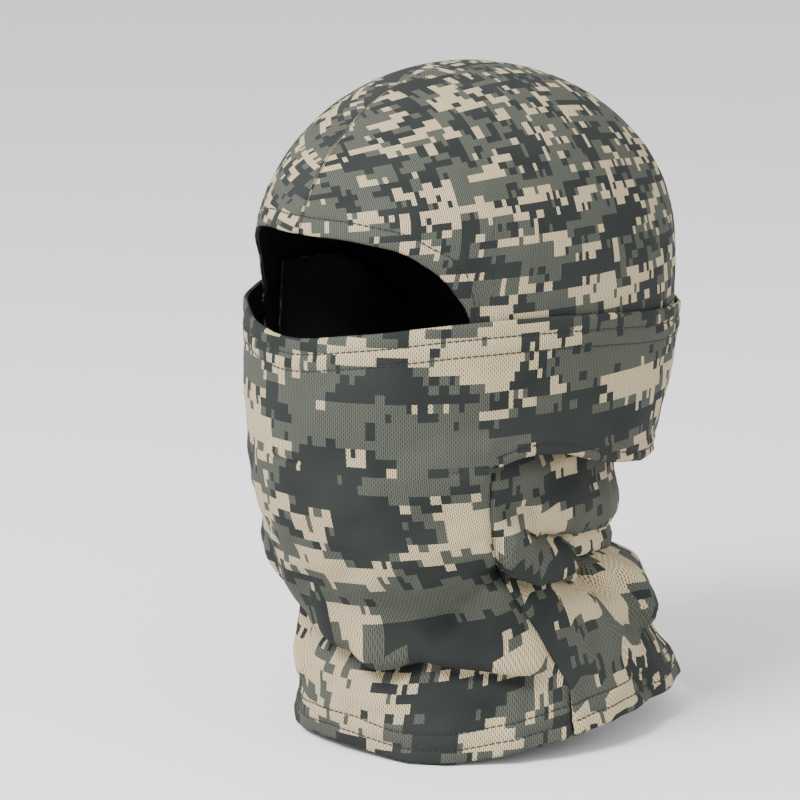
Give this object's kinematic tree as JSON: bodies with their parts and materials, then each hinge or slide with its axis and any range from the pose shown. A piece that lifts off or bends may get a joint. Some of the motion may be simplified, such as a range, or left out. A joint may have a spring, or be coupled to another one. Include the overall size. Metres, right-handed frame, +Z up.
{
  "type": "fabric face mask",
  "caption": "Pull-on knit hood with an eye opening and neck skirt, and a face cover whose wings run round the back of the head; the cover pulls down under the chin.",
  "frame": {"origin": "top of the wearer's head, on the inside of the hood's crown", "axes": "+Z up along the wearer's neck, -Y the way the wearer looks, +X the wearer's left"},
  "size_m": [0.1618, 0.2023, 0.2813],
  "materials": {
    "printed_knit": "polyester mesh knit with a blocky camouflage print in slate, grey-green and sand",
    "knit_inside": "unprinted dark inside face of the same knit",
    "stitch_thread": "dark polyester sewing thread",
    "overlock_thread": "dark grey overlock thread",
    "label_satin": "blank woven satin"
  },
  "bodies": {
    "hood": {"hood_panel_left": "printed_knit", "hood_panel_right": "printed_knit", "eye_hem_ply_left": "knit_inside", "eye_hem_ply_right": "knit_inside", "eye_stitch_left": "stitch_thread", "eye_stitch_right": "stitch_thread", "neck_hem_ply": "knit_inside", "neck_stitch_lower": "stitch_thread", "neck_stitch_upper": "stitch_thread", "crown_seam_overlock": "overlock_thread", "side_seam_overlock_left": "overlock_thread", "side_seam_overlock_right": "overlock_thread", "seam_bartack_left": "stitch_thread", "seam_bartack_right": "stitch_thread", "care_label": "label_satin"},
    "face_cover": {"face_panel": "printed_knit", "rim_hem_ply": "knit_inside", "rim_stitch_upper": "stitch_thread", "rim_stitch_lower": "stitch_thread", "band_hem_ply_left": "knit_inside", "band_hem_ply_right": "knit_inside", "band_stitch_left": "stitch_thread", "band_stitch_right": "stitch_thread", "band_join_overlock": "overlock_thread"}
  },
  "joints": [
    {"name": "cover_pull_down", "type": "hinge", "parent": "hood", "child": "face_cover", "pos_m": [0, 0.098, -0.095], "axis": [1, 0, 0], "range_deg": [0, 27], "deforming": ["face_panel", "rim_hem_ply", "rim_stitch_upper", "rim_stitch_lower"]}
  ]
}
